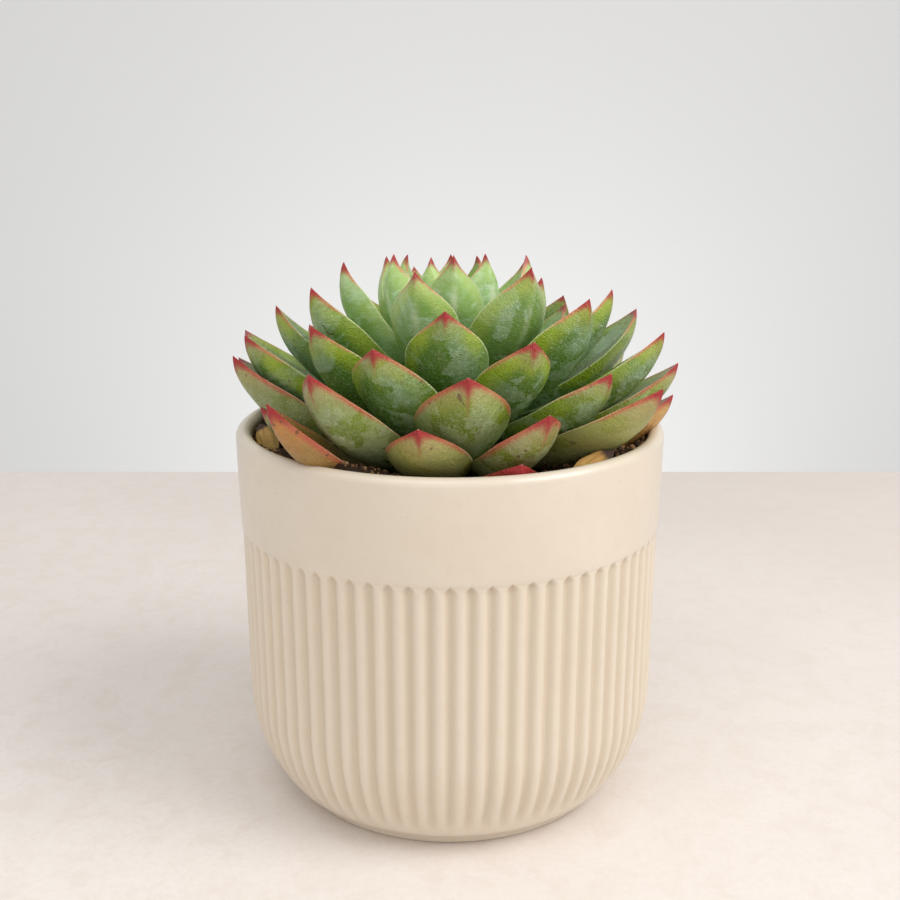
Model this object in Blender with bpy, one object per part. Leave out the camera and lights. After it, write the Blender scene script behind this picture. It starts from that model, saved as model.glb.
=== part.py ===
"""A potted echeveria: a reeded ceramic pot, its potting soil, and one rosette of thick pointed
leaves that grow round a short stem by the golden angle.

Metres, +Z up. The origin is the middle of the pot's flat foot, and -Y is the pot's front."""

import math

import bmesh
import bpy
from mathutils import Matrix, Vector
from mathutils.bvhtree import BVHTree

# The gap between pieces that touch
GAP = 0.0003

# Pot
POT_HEIGHT = 0.115
RIM_RADIUS = 0.065
WALL = 0.0048
FLOOR_THICKNESS = 0.007
FOOT_RADIUS = 0.0502
FOOT_HEIGHT = 0.0046
FOOT_BEVEL = 0.0008
BAND_FROM = 0.0853
BELLY_RADIUS = 0.0472
BELLY_CENTRE_HEIGHT = 0.0333
BELLY_START = -38
REED_COUNT = 72
REED_DEPTH = 0.0009
BAND_STEP = 0.0003
BAND_TAPER = 0.0006
INNER_CORNER = 0.028

# Soil
SOIL_LEVEL = 0.1098
SOIL_SECTORS = 40
SOIL_RADII = (0.0565, 0.052, 0.047, 0.041, 0.034, 0.026, 0.018)
RIPPLE = 0.0005
UNDER_LEAF = 0.0008
PROBES = 4
SOCKET_DEPTH = 0.014

# Stem
STEM_TOP = 0.1313
STEM_LENGTH = 0.0270
CROWN_RADIUS = 0.0026
STEM_RADIUS = 0.0082
ROOT_DEPTH = 0.013
OLDEST_AGE = 1.2
LEAN_BACK = math.radians(6.1)

# Rosette
GOLDEN_ANGLE = math.radians(137.5)
FIRST_TURN = math.radians(259.1)
RANK_SPAN = 54.0
OUTER_RISE = 13.7
INNER_RISE = 81.6
RISE_DECAY = 2.86
INNER_LENGTH = 0.0340
OUTER_LENGTH = 0.0704
LENGTH_DECAY = 1.87
INNER_HALF_WIDTH = 0.0063
OUTER_HALF_WIDTH = 0.0141
WIDTH_DECAY = 3.2
INNER_BEND = 33.0
OUTER_BEND = 45.5
INNER_THICKNESS = 0.0033
OUTER_THICKNESS = 0.0062
HOLLOW = 0.0005
RAISED_MARGIN = 0.05
WAIST = 0.42
BASE_DEPTH = 0.34
BROADEST = 0.64

# The spiral's places, from the youngest leaf out. A few of the oldest leaves have dropped off.
LEAF_RANKS = [rank for rank in range(51) if rank != 39] + [52, 53, 55, 60, 63]

# No plant is perfectly regular. This says how far a leaf stands off its place in the spiral:
# degrees further round the stem, degrees further up, and its size against its neighbours'.
LEANS = {
    0: (-14, -9, 1.04),
    5: (-9, 0, 1.00),
    8: (-7, 0, 1.02),
    9: (-15, -2, 1.00),
    11: (-5, 0, 0.90),
    13: (9, 0, 1.00),
    14: (0, -9, 0.86),
    15: (-9, 1, 0.85),
    16: (0, 2, 1.07),
    21: (2, -3, 1.00),
    23: (0, 0, 0.97),
    24: (-3, 4, 1.00),
    26: (-9, 0, 0.93),
    27: (3, 0, 1.05),
    28: (0, 0, 0.89),
    29: (7, 0, 0.91),
    31: (0, -1, 1.01),
    32: (6, 0, 1.03),
    34: (-3, 2, 0.96),
    35: (-4, 0, 1.00),
    36: (-3, 2, 1.04),
    37: (9, -2, 0.90),
    40: (-4, -2, 1.00),
    41: (-2, -2, 0.92),
    42: (0, 2, 0.95),
    43: (0, 1, 1.00),
    44: (10, 5, 0.97),
    45: (-2, -2, 1.00),
    46: (0, -3, 0.84),
    47: (-2, 4, 1.03),
    48: (4, 0, 0.92),
    49: (8, 4, 1.00),
    50: (-1, -1, 0.89),
    52: (-8, 0, 0.78),
    53: (7, 0, 0.91),
    55: (1, 0, 0.84),
    60: (0, 5, 1.00),
    63: (6, -4, 0.78),
}

# Two shrivelled leaves by the wall: stem end, tip, half width, thickness, roll in degrees
WITHERED = (
    ((0.0325, -0.0410, 0.1070), (0.0460, -0.0356, 0.1152), 0.0042, 0.0036, 50),
    ((-0.0518, -0.0135, 0.1072), (-0.0578, -0.0060, 0.1152), 0.0037, 0.0034, -50),
)

# Where a leaf's mesh has its rings, as shares of its length
STATIONS = (0.0, 0.12, 0.27, 0.44, 0.60, 0.74, 0.86, 0.95)
# Round each ring: across from -1 to 1, then 1 for the upper face and 0 for the lower
RING = ((-1.0, 1), (-0.5, 0), (0.0, 0), (0.5, 0), (1.0, 1), (0.5, 1), (0.0, 1), (-0.5, 1))


def clear_scene():
    for thing in list(bpy.data.objects):
        bpy.data.objects.remove(thing, do_unlink=True)


def make_material(name, colour, roughness):
    material = bpy.data.materials.new(name)
    material.use_nodes = True
    shader = material.node_tree.nodes["Principled BSDF"]
    shader.inputs["Base Color"].default_value = (*colour, 1.0)
    shader.inputs["Roughness"].default_value = roughness
    shader.inputs["Metallic"].default_value = 0.0
    material.diffuse_color = (*colour, 1.0)
    return material


def add_part(name, points, faces, material):
    """One closed mesh as an object of its own, with its faces turned outwards."""
    mesh = bpy.data.meshes.new(name)
    mesh.from_pydata(points, [], faces)
    shape = bmesh.new()
    shape.from_mesh(mesh)
    bmesh.ops.triangulate(shape, faces=shape.faces[:])
    bmesh.ops.recalc_face_normals(shape, faces=shape.faces[:])
    shape.to_mesh(mesh)
    shape.free()
    mesh.materials.append(material)
    mesh.shade_smooth()
    mesh.set_sharp_from_angle(angle=math.radians(40))
    part = bpy.data.objects.new(name, mesh)
    bpy.context.scene.collection.objects.link(part)
    return part


def turned(profile, sectors, shape_point):
    """Turns an outline of (radius, height) round Z. It starts and ends on the axis, and
    shape_point(row, radius, height, angle) may move each point a little."""
    points = [Vector((0.0, 0.0, profile[0][1]))]
    for row, (radius, height) in enumerate(profile[1:-1]):
        for sector in range(sectors):
            angle = math.tau * sector / sectors - math.pi / 2
            near, level = shape_point(row, radius, height, angle)
            points.append(Vector((near * math.cos(angle), near * math.sin(angle), level)))
    points.append(Vector((0.0, 0.0, profile[-1][1])))
    rows = len(profile) - 2
    faces = []
    for sector in range(sectors):
        after = (sector + 1) % sectors
        faces.append((0, 1 + sector, 1 + after))
        for row in range(rows - 1):
            low = 1 + row * sectors
            high = low + sectors
            faces.append((low + sector, high + sector, high + after, low + after))
        top = 1 + (rows - 1) * sectors
        faces.append((len(points) - 1, top + after, top + sector))
    return points, faces


def arc(centre, radius, start, end, steps):
    """Points of an arc in the (radius, height) plane, angles in degrees from +radius."""
    found = []
    for step in range(steps + 1):
        angle = math.radians(start + (end - start) * step / steps)
        found.append((centre[0] + radius * math.cos(angle), centre[1] + radius * math.sin(angle)))
    return found


def inner_wall():
    """The inside of the pot from the floor's edge up to the lip, as (radius, height)."""
    inner_radius = RIM_RADIUS - WALL
    centre = (inner_radius - INNER_CORNER, FLOOR_THICKNESS + INNER_CORNER)
    return arc(centre, INNER_CORNER, -90, 0, 3) + [(inner_radius, POT_HEIGHT - WALL / 2)]


def pot_profile():
    """(outline, rows that carry the reeds). The outline runs from under the foot, up the
    outside, over the round lip and down the inside."""
    outside = [(0.0, 0.0), (FOOT_RADIUS - FOOT_BEVEL, 0.0), (FOOT_RADIUS, FOOT_BEVEL)]
    outside.append((FOOT_RADIUS + FOOT_BEVEL / 2, FOOT_HEIGHT - FOOT_BEVEL))
    belly_centre = (RIM_RADIUS - WALL / 4 - BELLY_RADIUS, BELLY_CENTRE_HEIGHT)
    reeded_from = len(outside)
    outside += arc(belly_centre, BELLY_RADIUS, BELLY_START, 0, 5)
    outside.append((outside[-1][0] + BAND_STEP, BAND_FROM - BAND_STEP * 2))
    reeded_to = len(outside) - 1
    outside.append((RIM_RADIUS - BAND_TAPER, BAND_FROM))
    lip = arc((RIM_RADIUS - WALL / 2, POT_HEIGHT - WALL / 2), WALL / 2, 0, 180, 4)
    inside = inner_wall()
    inside.reverse()
    return outside + lip + inside[1:] + [(0.0, FLOOR_THICKNESS)], (reeded_from, reeded_to)


def build_pot(material):
    profile, (first, last) = pot_profile()

    def reed(row, radius, height, angle):
        groove = round((angle + math.pi / 2) / math.tau * REED_COUNT * 2) % 2 == 0
        if groove and first <= row < last:
            return radius - REED_DEPTH, height
        return radius, height

    points, faces = turned(profile, REED_COUNT * 2, reed)
    return add_part("pot", points, faces, material)


def soil_profile():
    """(outline, first and last row of the open surface) of the potting mix."""
    wall = [(radius - GAP, height + GAP) for radius, height in inner_wall()[:-1]]
    outline = [(0.0, wall[0][1])] + wall + [(wall[-1][0], SOIL_LEVEL)]
    first = len(outline) - 2
    outline += [(radius, SOIL_LEVEL) for radius in SOIL_RADII]
    last = len(outline) - 2
    socket_top = STEM_TOP - STEM_LENGTH * OLDEST_AGE - 0.001
    for step in range(4):
        depth = SOCKET_DEPTH * step / 3
        slack = 3 * GAP + (POT_HEIGHT - socket_top + depth) * math.tan(LEAN_BACK)
        outline.append((root_radius(depth) + slack, socket_top - depth))
    return outline + [(0.0, socket_top - SOCKET_DEPTH - GAP)], first, last


def lowest_above(plants, x, y):
    """How low the plant comes over a spot of the mix."""
    hit = plants.ray_cast(Vector((x, y, 0.0)), Vector((0.0, 0.0, 1.0)))[0]
    return SOIL_LEVEL if hit is None else hit.z - UNDER_LEAF


def build_soil(plants, material):
    """The potting mix fills the pot up to its level, and lies lower under the oldest leaves."""
    profile, first, last = soil_profile()
    step = math.tau / SOIL_SECTORS

    def level(row, radius, height, angle):
        if not first <= row <= last:
            return radius, height
        ripple = math.sin(5 * angle + 90 * radius) + math.sin(8 * angle - 260 * radius + 1.3)
        found = [height + RIPPLE * ripple]
        inner, outer = profile[row + 2][0], profile[row][0]
        for place in range(-PROBES, PROBES + 1):
            near = radius + abs(place) / PROBES * ((outer if place > 0 else inner) - radius)
            for turn in range(-PROBES, PROBES + 1):
                way = angle + turn / PROBES * step
                found.append(lowest_above(plants, near * math.cos(way), near * math.sin(way)))
        return radius, min(found)

    points, faces = turned(profile, SOIL_SECTORS, level)
    return add_part("potting_soil", points, faces, material)


def root_radius(depth):
    """The buried root's radius at a depth under the oldest leaf's place."""
    return max(0.0012, (STEM_RADIUS - GAP) * (1.0 - (depth / ROOT_DEPTH) ** 1.5))


def insertion(age):
    """(radius, height) where a leaf of this age, 0 young to 1 old, joins the stem."""
    radius = CROWN_RADIUS + (STEM_RADIUS - CROWN_RADIUS) * (1 - (1 - min(age, 1.0)) ** 3)
    return radius, STEM_TOP - STEM_LENGTH * age


def lean(point):
    """Leans a point of the plant back, turning it about the middle of the rim."""
    pivot = Vector((0.0, 0.0, POT_HEIGHT))
    return Matrix.Rotation(-LEAN_BACK, 3, "X") @ (Vector(point) - pivot) + pivot


def build_stem(material):
    """The short stem: a domed crown, a column that carries the leaves, and a tapering root."""
    outline = [(0.0, STEM_TOP + 0.0004)]
    for step in range(7):
        radius, height = insertion(OLDEST_AGE * step / 6)
        outline.append((radius - GAP, height - GAP))
    soil_top = outline[-1][1]
    for step in range(1, 5):
        depth = ROOT_DEPTH * step / 4
        outline.append((root_radius(depth), soil_top - depth))
    outline.append((0.0, soil_top - ROOT_DEPTH - 0.001))
    points, faces = turned(outline, 16, lambda row, radius, height, angle: (radius, height))
    return add_part("stem", [lean(point) for point in points], faces, material)


class Leaf:
    """One leaf's size and place, all from its rank in the spiral."""

    def __init__(self, rank):
        turn, lift, size = LEANS.get(rank, (0, 0, 1.0))
        age = rank / RANK_SPAN
        self.turn = FIRST_TURN + GOLDEN_ANGLE * rank + math.radians(turn)
        rise = OUTER_RISE + (INNER_RISE - OUTER_RISE) * math.exp(-RISE_DECAY * age) + lift
        grown = (1 - math.exp(-LENGTH_DECAY * age)) / (1 - math.exp(-LENGTH_DECAY))
        self.length = size * (INNER_LENGTH + (OUTER_LENGTH - INNER_LENGTH) * grown)
        broad = 1 - math.exp(-WIDTH_DECAY * age)
        self.half_width = size * (INNER_HALF_WIDTH + (OUTER_HALF_WIDTH - INNER_HALF_WIDTH) * broad)
        self.thickness = size * (INNER_THICKNESS + (OUTER_THICKNESS - INNER_THICKNESS) * broad)
        bend = INNER_BEND + (OUTER_BEND - INNER_BEND) * min(1.0, age * 2)
        self.bend = math.radians(bend)
        self.rise = math.radians(rise) - self.bend / 2
        self.base_radius, self.base_height = insertion(age)

    def spine(self, along):
        """(radius, height, slope) of the leaf's middle line, an arc in an upright plane."""
        slope = self.rise + self.bend * along
        bow = self.length / self.bend
        radius = self.base_radius + bow * (math.sin(slope) - math.sin(self.rise))
        height = self.base_height + bow * (math.cos(self.rise) - math.cos(slope))
        return radius, height, slope

    def half_width_at(self, along):
        """Narrow at the stem, broadest two thirds out, then drawn to a point."""
        base = WAIST * self.base_radius / self.half_width
        if along < BROADEST:
            swell = math.sin(math.pi / 2 * along / BROADEST) ** 1.8
            return self.half_width * (base + (1 - base) * swell)
        return self.half_width * (1 - ((along - BROADEST) / (1 - BROADEST)) ** 2.5) ** 1.05

    def depth_at(self, along):
        """How far the keeled lower face stands off the upper one at the middle line."""
        if along < 0.5:
            return self.thickness * (BASE_DEPTH + (1 - BASE_DEPTH) * math.sin(math.pi * along))
        return self.thickness * (1 - ((along - 0.5) / 0.5) ** 2.6) ** 0.8

    def point(self, along, across, upper):
        radius, height, slope = self.spine(along)
        width = self.half_width_at(along)
        hollow = HOLLOW * width / self.half_width * (1 - across * across)
        hollow -= RAISED_MARGIN * width * across * across
        off = hollow if upper else hollow + self.depth_at(along) * (1 - abs(across) ** 1.8)
        angle = self.turn + across * width / radius
        out = radius + off * math.sin(slope)
        level = height - off * math.cos(slope)
        return lean((out * math.cos(angle), out * math.sin(angle), level))

    def points(self):
        """Rings of points from the stem out, then the tip."""
        found = []
        for along in STATIONS:
            found += [self.point(along, across, upper) for across, upper in RING]
        return found + [self.point(1.0, 0.0, 1)]


def withered_leaf(start, end, half_width, thickness, roll):
    """A shrivelled leaf between two points, rolled about its length and pinched by wrinkles."""
    start, end = Vector(start), Vector(end)
    ahead = (end - start).normalized()
    sideways = Matrix.Rotation(math.radians(roll), 3, ahead) @ ahead.cross((0, 0, 1)).normalized()
    over = sideways.cross(ahead)
    points = []
    for along in STATIONS:
        plump = math.sin(math.pi * (0.06 + 0.94 * along)) ** 0.6
        middle = start.lerp(end, along) + over * thickness * 0.3 * math.sin(math.pi * along)
        for across, upper in RING:
            pinch = 1 + 0.12 * math.sin(17 * along + 5 * across)
            bulge = 0.35 if upper else -0.65
            off = bulge * thickness * (1 - abs(across) ** 1.5)
            side = sideways * across * half_width
            points.append(middle + (side + over * off) * plump * pinch)
    return points + [end]


def skin(rings, size):
    """The faces over rings of this many points that end in one tip point."""
    tip = rings * size
    faces = [tuple(range(size))]
    for low in range(0, tip - size, size):
        for place in range(size):
            after = (place + 1) % size
            high = low + size
            faces.append((low + place, low + after, high + after, high + place))
    for place in range(size):
        faces.append((tip, tip - size + (place + 1) % size, tip - size + place))
    return faces


def main():
    clear_scene()
    glaze = make_material("cream_glaze", (0.74, 0.66, 0.54), 0.42)
    mix = make_material("potting_mix", (0.09, 0.05, 0.03), 0.95)
    bark = make_material("stem_bark", (0.30, 0.24, 0.12), 0.8)
    leaf_skin = make_material("leaf_skin", (0.26, 0.42, 0.20), 0.5)
    dry_skin = make_material("withered_skin", (0.50, 0.33, 0.12), 0.7)
    leaf_faces = skin(len(STATIONS), len(RING))
    plant_points, plant_faces = [], []

    def add_leaf(name, points, material):
        start = len(plant_points)
        plant_points.extend(points)
        plant_faces.extend([tuple(start + place for place in face) for face in leaf_faces])
        add_part(name, points, leaf_faces, material)

    for number, rank in enumerate(LEAF_RANKS, start=1):
        add_leaf(f"leaf_{number:02d}", Leaf(rank).points(), leaf_skin)
    for number, shape in enumerate(WITHERED, start=1):
        add_leaf(f"withered_leaf_{number}", withered_leaf(*shape), dry_skin)
    build_pot(glaze)
    build_soil(BVHTree.FromPolygons(plant_points, plant_faces), mix)
    build_stem(bark)


main()
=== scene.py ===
# %% [markdown]
# # A potted echeveria
# This lesson dresses a plain CAD model of a succulent: one rosette of thick pointed leaves in
# a reeded, cream-glazed pot. The CAD model is the fixed frame. It already has every leaf in its
# place, so each finer piece below is made from a CAD node and stands exactly where that node is.

import math

import bmesh
import bpy
from mathutils import Matrix, Vector


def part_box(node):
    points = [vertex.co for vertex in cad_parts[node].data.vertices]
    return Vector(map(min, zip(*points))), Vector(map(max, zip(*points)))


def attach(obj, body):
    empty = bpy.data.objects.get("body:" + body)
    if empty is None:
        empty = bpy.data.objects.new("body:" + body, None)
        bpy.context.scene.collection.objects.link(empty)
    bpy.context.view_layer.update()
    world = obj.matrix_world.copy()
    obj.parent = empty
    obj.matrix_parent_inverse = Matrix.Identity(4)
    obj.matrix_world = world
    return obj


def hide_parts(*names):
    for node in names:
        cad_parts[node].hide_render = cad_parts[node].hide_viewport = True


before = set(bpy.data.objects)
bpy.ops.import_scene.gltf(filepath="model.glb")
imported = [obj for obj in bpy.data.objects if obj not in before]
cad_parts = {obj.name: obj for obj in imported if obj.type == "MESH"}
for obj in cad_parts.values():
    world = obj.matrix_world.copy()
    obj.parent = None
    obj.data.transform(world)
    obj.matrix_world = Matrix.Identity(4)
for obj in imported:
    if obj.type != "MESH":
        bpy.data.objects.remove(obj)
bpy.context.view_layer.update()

# %% [markdown]
# ## Camera
# A normal lens, held a little above the leaves and looking down by about 15 degrees. It is near
# the plant, so the front leaves look larger than the back ones.

# %% Camera
CAMERA_PLACE = (0.0, -0.3593, 0.2028)
LOOKS_DOWN = 15.16
FOCAL_MM = 48.1
SENSOR_MM = 36.0
lens = bpy.data.cameras.new("camera")
lens.lens = FOCAL_MM
lens.sensor_width = SENSOR_MM
camera = bpy.data.objects.new("camera", lens)
camera.location = CAMERA_PLACE
camera.rotation_euler = (math.radians(90 - LOOKS_DOWN), 0.0, 0.0)
bpy.context.scene.collection.objects.link(camera)
bpy.context.scene.camera = camera
bpy.context.scene.view_settings.view_transform = "Standard"
print("camera at", tuple(camera.location))

# %% [markdown]
# ## Sums on sockets
# Both kinds of tree below, those that make shapes and those that paint them, are mostly sums.
# Wiring Math nodes by hand is slow to read, so this small class lets Python's own operators
# add the nodes: an expression on wires becomes a chain of nodes in the tree.


# %% A class for node sums
class Wire:
    """One socket of a node tree. Sums on wires add Math nodes to its tree."""

    def __init__(self, tree, socket=None):
        self.tree = tree
        self.socket = socket

    def plug(self, socket, value):
        """Sets a socket to a value, or links a wire to it."""
        if isinstance(value, Wire):
            self.tree.links.new(value.socket, socket)
        elif isinstance(value, tuple) and socket.type == "RGBA" and len(value) == 3:
            socket.default_value = (*value, 1.0)
        else:
            socket.default_value = value

    def node(self, kind, values=None, out=0, stops=None, **settings):
        """Adds any node: its settings first, then the values or links of its sockets."""
        node = self.tree.nodes.new(kind)
        for name, setting in settings.items():
            setattr(node, name, setting)
        if stops:
            band = node.color_ramp.elements
            while len(band) < len(stops):
                band.new(0.5)
            for element, (place, colour) in zip(band, stops):
                element.position = place
                element.color = (*colour, 1.0)
        for key, value in (values or {}).items():
            self.plug(node.inputs[key], value)
        return Wire(self.tree, node.outputs[out])

    def math(self, operation, *values):
        return self.node("ShaderNodeMath", dict(enumerate(values)), operation=operation)

    def __add__(self, other):
        return self.math("ADD", self, other)

    def __radd__(self, other):
        return self.math("ADD", other, self)

    def __sub__(self, other):
        return self.math("SUBTRACT", self, other)

    def __rsub__(self, other):
        return self.math("SUBTRACT", other, self)

    def __mul__(self, other):
        return self.math("MULTIPLY", self, other)

    def __rmul__(self, other):
        return self.math("MULTIPLY", other, self)

    def __truediv__(self, other):
        return self.math("DIVIDE", self, other)

    def __rtruediv__(self, other):
        return self.math("DIVIDE", other, self)

    def __pow__(self, other):
        return self.math("POWER", self, other)

    def __abs__(self):
        return self.math("ABSOLUTE", self)

    def at_least(self, other):
        return self.math("MAXIMUM", self, other)

    def at_most(self, other):
        return self.math("MINIMUM", self, other)

    def sine(self):
        return self.math("SINE", self)

    def cosine(self):
        return self.math("COSINE", self)

    def climb(self, low, high):
        """0 below low and 1 above high, with an easy slope between them."""
        values = {"Value": self, "From Min": low, "From Max": high}
        return self.node("ShaderNodeMapRange", values, interpolation_type="SMOOTHSTEP")

    def between(self, first, second, blend="MIX"):
        """Mixes two colours, by this much of the second."""
        values = {0: self, 6: first, 7: second}
        settings = {"data_type": "RGBA", "blend_type": blend}
        return self.node("ShaderNodeMix", values, out=2, **settings)

    def vector(self, x, y, z):
        return self.node("ShaderNodeCombineXYZ", {0: x, 1: y, 2: z})

    def parts(self):
        split = self.node("ShaderNodeSeparateXYZ", {0: self}).socket.node
        return [Wire(self.tree, socket) for socket in split.outputs]

    def note(self, name):
        """The three numbers that a mesh keeps under this name."""
        return self.node("ShaderNodeAttribute", out="Vector", attribute_name=name).parts()

    def noise(self, where, scale, detail=2.0, roughness=0.5, out=0, **values):
        values.update({"Vector": where, "Scale": scale, "Detail": detail, "Roughness": roughness})
        return self.node("ShaderNodeTexNoise", values, out=out)


print("operators:", [name for name in vars(Wire) if name.startswith("__")][2:])

# %% [markdown]
# ## Materials and shape trees
# Two helpers start each of them. A finish has one Principled shader, whose steady numbers are
# set on its own sockets, and only what changes over the surface is wired. A shape tree has
# named inputs for its sizes, and its result is kept as a plain mesh with the tree taken off.


# %% Start a finish, start a shape, keep a shape
def start_finish(name, **steady):
    """(material, a wire to start sums from, the shader's sockets)"""
    material = bpy.data.materials.new(name)
    material.use_nodes = True
    shader = material.node_tree.nodes["Principled BSDF"]
    for socket, value in steady.items():
        shader.inputs[socket.replace("_", " ").title()].default_value = value
    return material, Wire(material.node_tree), shader.inputs


def start_shape(name, numbers, wants_mesh=False):
    """(tree, {input's name: wire}, function that ends the tree)"""
    tree = bpy.data.node_groups.new(name, "GeometryNodeTree")
    face = tree.interface
    face.new_socket("Geometry", in_out="INPUT", socket_type="NodeSocketGeometry")
    for number in numbers:
        whole = number.startswith("Count")
        kind = "NodeSocketInt" if whole else "NodeSocketFloat"
        face.new_socket(number, in_out="INPUT", socket_type=kind)
    face.new_socket("Material", in_out="INPUT", socket_type="NodeSocketMaterial")
    face.new_socket("Geometry", in_out="OUTPUT", socket_type="NodeSocketGeometry")
    entry = tree.nodes.new("NodeGroupInput")
    wires = {socket.name: Wire(tree, socket) for socket in entry.outputs if socket.name}

    def end(shape, smooth=True):
        shape = shape.node("GeometryNodeRealizeInstances", {0: shape})
        shape = shape.node("GeometryNodeSetShadeSmooth", {0: shape, "Shade Smooth": smooth})
        shape = shape.node("GeometryNodeSetMaterial", {0: shape, "Material": wires["Material"]})
        leave = tree.nodes.new("NodeGroupOutput")
        tree.links.new(shape.socket, leave.inputs[0])

    return tree, wires, end


def keep_shape(name, tree, values, source=None):
    """Runs a shape tree with these values and keeps its result as a plain mesh object."""
    piece = bpy.data.objects.new(name, source or bpy.data.meshes.new(name))
    bpy.context.scene.collection.objects.link(piece)
    modifier = piece.modifiers.new("shape", "NODES")
    modifier.node_group = tree
    for item in tree.interface.items_tree:
        if item.name in values:
            modifier[item.identifier] = values[item.name]
    graph = bpy.context.evaluated_depsgraph_get()
    mesh = bpy.data.meshes.new_from_object(piece.evaluated_get(graph))
    piece.modifiers.remove(modifier)
    piece.data = mesh
    mesh.name = name
    return piece


def face_out(piece):
    """Turns every face outwards, once doubled points are merged."""
    shape = bmesh.new()
    shape.from_mesh(piece.data)
    bmesh.ops.remove_doubles(shape, verts=shape.verts[:], dist=1e-6)
    bmesh.ops.recalc_face_normals(shape, faces=shape.faces[:])
    shape.to_mesh(piece.data)
    shape.free()


print("helpers ready")

# %% [markdown]
# ## Table, wall and light
# A pale, faintly mottled stone table stands before a pale grey wall. The table's colour is also
# painted darker towards the right and the back, a painted shade that evens out the window's
# light on it. One large soft lamp from the upper right, the window, gives the pot its bright
# right side and its soft shadow on the left.
# A wide lamp overhead and a weak one in front soften that shadow, a fourth washes the wall from
# behind and below the table, and an even sky fills the rest. No tone curve changes the colours.

# %% Table and wall
TABLE_BACK = 0.3385
STONE_PALE, STONE_WARM_AND_SHADE = (0.89, 0.835, 0.790), (0.72, 0.655, 0.605)
STONE_MOTTLE, STONE_GRAIN, STONE_FLECK = (0.70, 0.60, 0.52), (0.74, 0.655, 0.59), (0.84, 0.80, 0.76)
WALL_PALE, WALL_PALER = (0.80, 0.80, 0.79), (0.82, 0.82, 0.805)
table_skin, paint, look = start_finish("table_skin", roughness=0.62)
spot = paint.node("ShaderNodeTexCoord", out="Object")
x, y, _ = spot.parts()
cloud = paint.noise(spot, 9.0, 4.0, 0.6)
grain = paint.noise(spot, 420.0, 3.0, 0.7)
fleck = paint.noise(spot, 1300.0, 2.0, 0.6)
# The cloud is the stone's own mottle; the climbs on x and y are painted shade, darker towards the
# right and the back of the table.
stone_mottle_and_painted_shade = cloud.climb(0.3, 0.7) * 0.20 + x.climb(-0.25, 0.25) * 0.30 + y.climb(-0.1, 0.3) * 0.50
tone = stone_mottle_and_painted_shade.between(STONE_PALE, STONE_WARM_AND_SHADE)
mottle = paint.noise(spot, 85.0, 6.0, 0.72, Distortion=0.6)
tone = (mottle.climb(0.44, 0.66) * 0.24).between(tone, STONE_MOTTLE)
tone = (grain.climb(0.35, 0.75) * 0.30).between(tone, STONE_GRAIN)
tone = (fleck.climb(0.5, 0.8) * 0.30).between(tone, STONE_FLECK)
paint.plug(look["Base Color"], tone)
bump = paint.node("ShaderNodeBump", {"Height": grain, "Strength": 0.12, "Distance": 0.0004})
paint.plug(look["Normal"], bump)

wall_skin, paint, look = start_finish("wall_skin", roughness=0.9)
spot = paint.node("ShaderNodeTexCoord", out="Object")
tone = paint.noise(spot, 3.0, 2.0).between(WALL_PALE, WALL_PALER)
paint.plug(look["Base Color"], tone)


def stage_plane(name, corners, material):
    mesh = bpy.data.meshes.new(name)
    mesh.from_pydata(corners, [], [(0, 1, 2, 3)])
    mesh.materials.append(material)
    plane = bpy.data.objects.new(name, mesh)
    bpy.context.scene.collection.objects.link(plane)
    return plane


floor = [(-2.0, -2.0, 0.0), (2.0, -2.0, 0.0), (2.0, TABLE_BACK, 0.0), (-2.0, TABLE_BACK, 0.0)]
stage_plane("table", floor, table_skin)
wall = [(-3.0, 1.4, -1.5), (3.0, 1.4, -1.5), (3.0, 1.4, 2.5), (-3.0, 1.4, 2.5)]
stage_plane("wall", wall, wall_skin)
print("table's back edge at", TABLE_BACK)


# %% Light
WARM_WHITE = (1.0, 0.985, 0.965)
SKY_LIGHT, SKY_SEEN = (0.99, 0.99, 1.0), (0.78, 0.78, 0.77)


def add_lamp(name, place, target, size, power, colour=(1.0, 1.0, 1.0)):
    lamp = bpy.data.lights.new(name, "AREA")
    lamp.shape = "DISK"
    lamp.size = size
    lamp.energy = power
    lamp.color = colour
    holder = bpy.data.objects.new(name, lamp)
    holder.location = place
    aim = Vector(target) - Vector(place)
    holder.rotation_euler = aim.to_track_quat("-Z", "Y").to_euler()
    bpy.context.scene.collection.objects.link(holder)


add_lamp("window", (0.74, -0.34, 0.88), (0.0, 0.0, 0.08), 0.72, 7.2, WARM_WHITE)
add_lamp("overhead", (-0.25, -0.55, 1.25), (-0.15, -0.30, 0.0), 0.9, 3.2, WARM_WHITE)
add_lamp("front_fill", (-0.15, -1.15, 0.22), (0.0, 0.0, 0.12), 1.0, 1.2, WARM_WHITE)
add_lamp("wall_wash", (0.05, 0.80, -0.45), (0.0, 1.4, -0.10), 0.5, 1.9)
sky = bpy.data.worlds.new("sky")
bpy.context.scene.world = sky
sky.use_nodes = True
air = Wire(sky.node_tree)
seen = air.node("ShaderNodeLightPath", out="Is Camera Ray")
back = sky.node_tree.nodes["Background"].inputs
air.plug(back["Color"], seen.between(SKY_LIGHT, SKY_SEEN))
back["Strength"].default_value = 0.65

# %% [markdown]
# ## The pot's outline
# A slip-cast pot is round, so one outline of radius and height says all of it but the reeds:
# a flat foot, a round belly, a plain band, a full round lip and the inside down to its floor.
# The numbers are the CAD pot's own, with more points on every curve.

# %% The pot's outline
POT_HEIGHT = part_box("pot")[1][2]
RIM_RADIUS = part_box("pot")[1][0]
WALL = 0.0048
FOOT_RADIUS = 0.0502
FOOT_BEVEL = 0.0008
BAND_FROM = 0.0853
BAND_TAPER = 0.0006
BELLY_RADIUS = 0.0472
BELLY_HEIGHT = 0.0333
REEDS_STRAIGHT = 0.0490
INNER_CORNER = 0.028
POT_FLOOR = 0.007


def arc(centre, radius, start, end, steps):
    """Points of an arc of (radius, height), angles in degrees."""
    turns = [math.radians(start + (end - start) * step / steps) for step in range(steps + 1)]
    return [(centre[0] + radius * math.cos(t), centre[1] + radius * math.sin(t)) for t in turns]


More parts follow.
